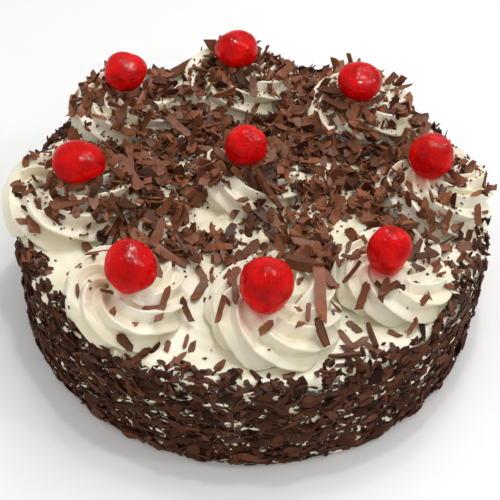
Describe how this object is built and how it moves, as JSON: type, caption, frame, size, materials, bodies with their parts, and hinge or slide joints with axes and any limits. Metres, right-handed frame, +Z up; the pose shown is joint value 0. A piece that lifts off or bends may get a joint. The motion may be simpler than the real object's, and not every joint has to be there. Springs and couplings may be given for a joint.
{
  "type": "black forest cake",
  "caption": "Whole round cream cake with shaved chocolate round its side and over its top, and a ring of piped rosettes topped with glace cherries.",
  "frame": {"origin": "centre of the cake's flat underside", "axes": "+Z up, front of the cake towards -Y, +X to the right"},
  "size_m": [0.244, 0.2391, 0.1012],
  "materials": {
    "cream": "soft whipped cream, satin, with piped ridges",
    "dark_chocolate": "dark chocolate shards, dull with small glints",
    "milk_chocolate": "shaved chocolate flakes and curls, dull",
    "glace_cherry": "wet translucent candied fruit, high gloss"
  },
  "bodies": {
    "root": {"cake_body": "cream", "side_shavings": "dark_chocolate", "top_shavings": "milk_chocolate", "rosette_back": "cream", "rosette_back_left": "cream", "rosette_left": "cream", "rosette_front_left": "cream", "rosette_front": "cream", "rosette_front_right": "cream", "rosette_right": "cream", "rosette_back_right": "cream", "rosette_centre": "cream", "cherry_back": "glace_cherry", "cherry_back_left": "glace_cherry", "cherry_left": "glace_cherry", "cherry_front_left": "glace_cherry", "cherry_front": "glace_cherry", "cherry_front_right": "glace_cherry", "cherry_right": "glace_cherry", "cherry_back_right": "glace_cherry", "cherry_centre": "glace_cherry"}
  },
  "joints": []
}
